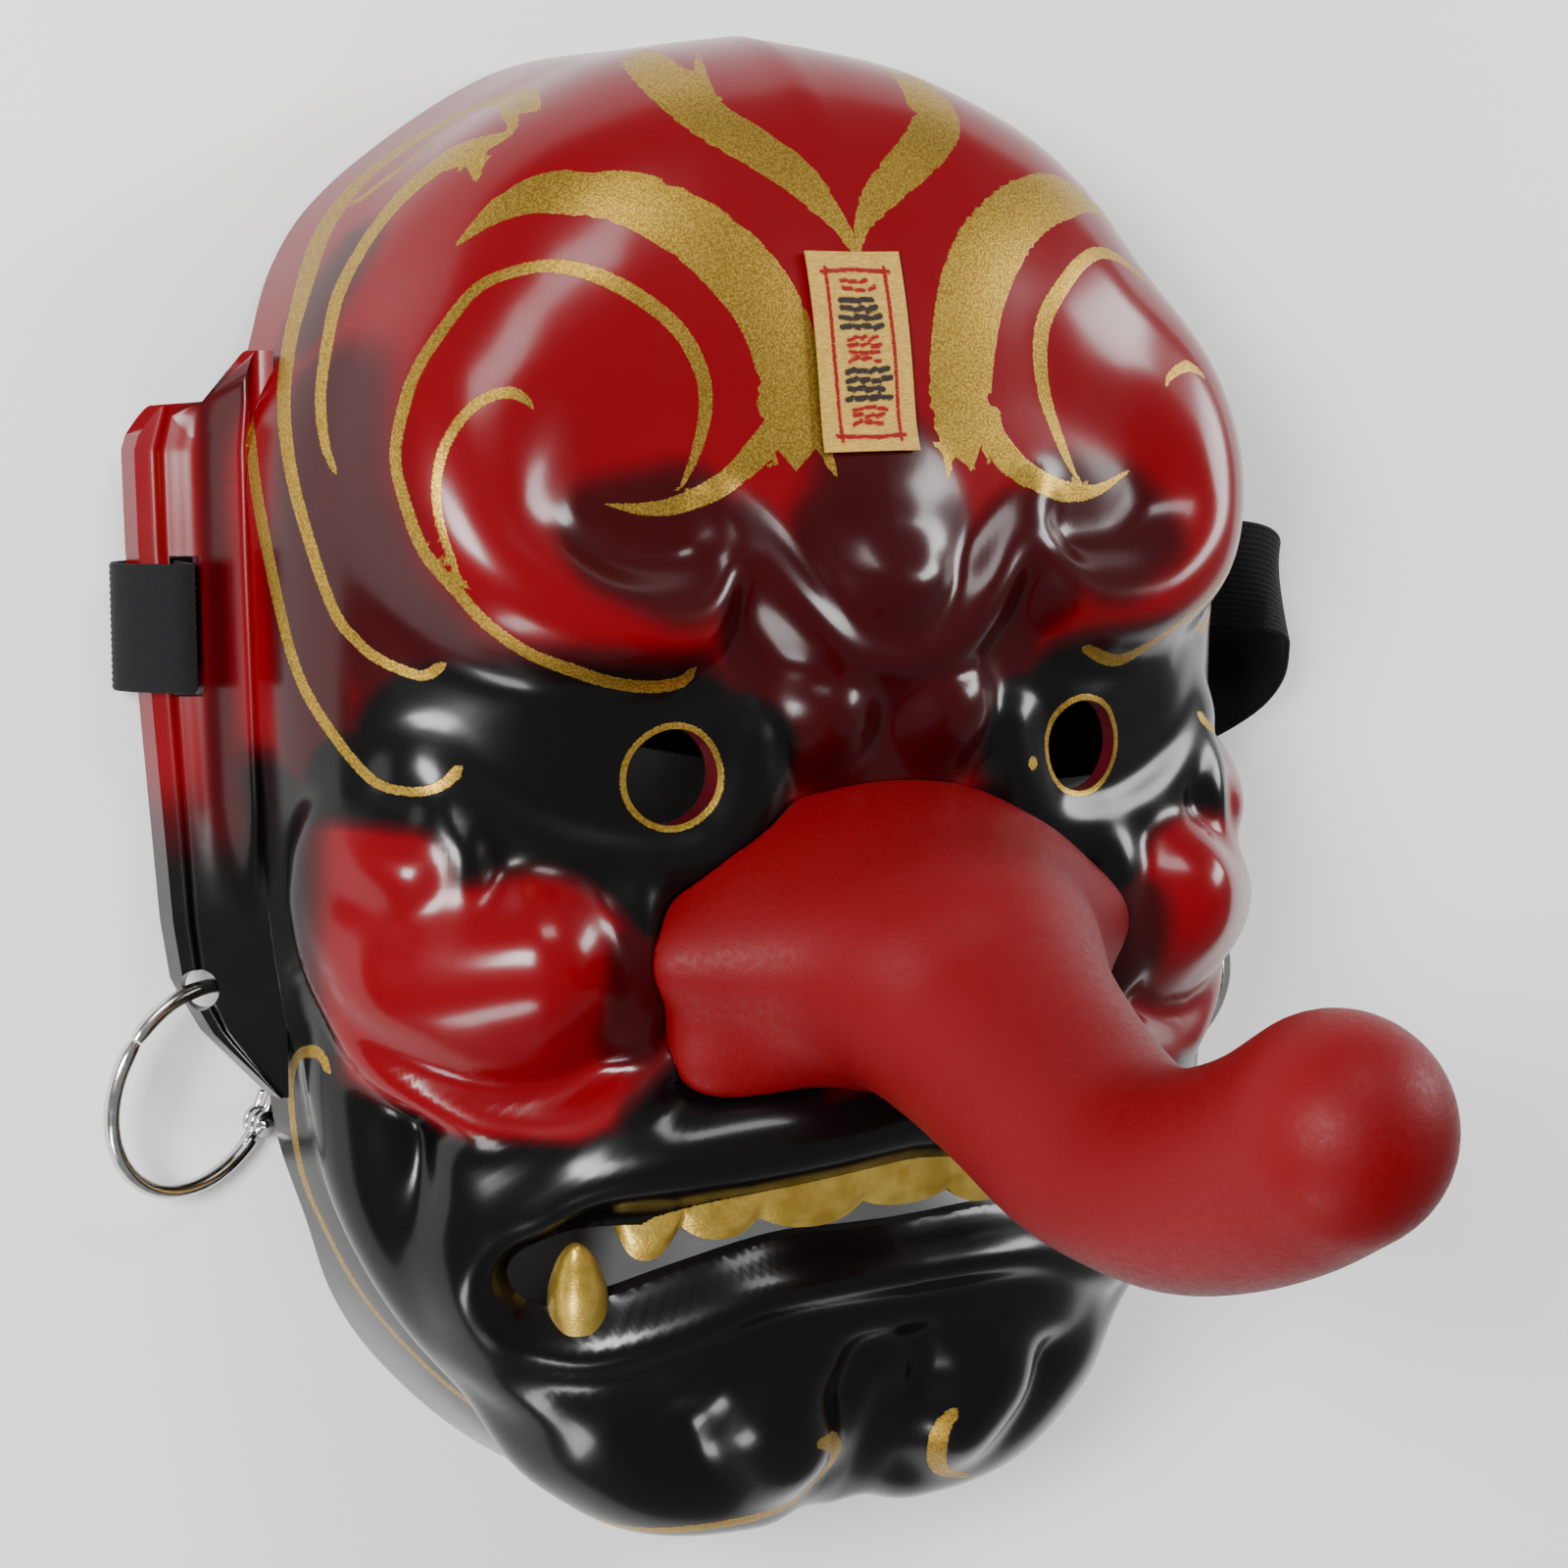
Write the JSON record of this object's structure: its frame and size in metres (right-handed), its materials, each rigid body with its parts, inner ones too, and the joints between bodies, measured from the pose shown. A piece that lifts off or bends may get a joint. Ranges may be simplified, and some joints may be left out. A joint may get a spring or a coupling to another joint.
{
  "type": "tengu mask",
  "caption": "Long-nosed tengu face mask: glossy red and black moulded shell with gold curls, matte upturned nose, elastic head strap and hinged side rings.",
  "frame": {"origin": "middle of the whole part's box, on the table it lies on", "axes": "+Z out of the face, along the nose; +Y to the forehead; +X to the right as one faces the mask"},
  "size_m": [0.2412, 0.2496, 0.1933],
  "materials": {
    "painted_shell": "glossy airbrushed red and black lacquer with gold paint",
    "matte_nose": "satin matte red paint",
    "paper_label": "printed paper",
    "elastic": "ribbed woven elastic",
    "plated_steel": "nickel plate"
  },
  "bodies": {
    "mask": {"mask_shell": "painted_shell", "nose": "matte_nose", "talisman_label": "paper_label", "elastic_strap": "elastic", "ring_left_arm": "plated_steel", "ring_right_arm": "plated_steel"},
    "gate_left": {"ring_left_gate": "plated_steel"},
    "gate_right": {"ring_right_gate": "plated_steel"}
  },
  "joints": [
    {"name": "ring_left_hinge", "type": "hinge", "parent": "mask", "child": "gate_left", "pos_m": [-0.08907, -0.05093, 0.00324], "axis": [0.3029, -0.1981, 0.9322], "range_deg": [0, 50]},
    {"name": "ring_right_hinge", "type": "hinge", "parent": "mask", "child": "gate_right", "pos_m": [0.07173, -0.05093, 0.00324], "axis": [0.3029, 0.1981, -0.9322], "range_deg": [0, 50]}
  ]
}
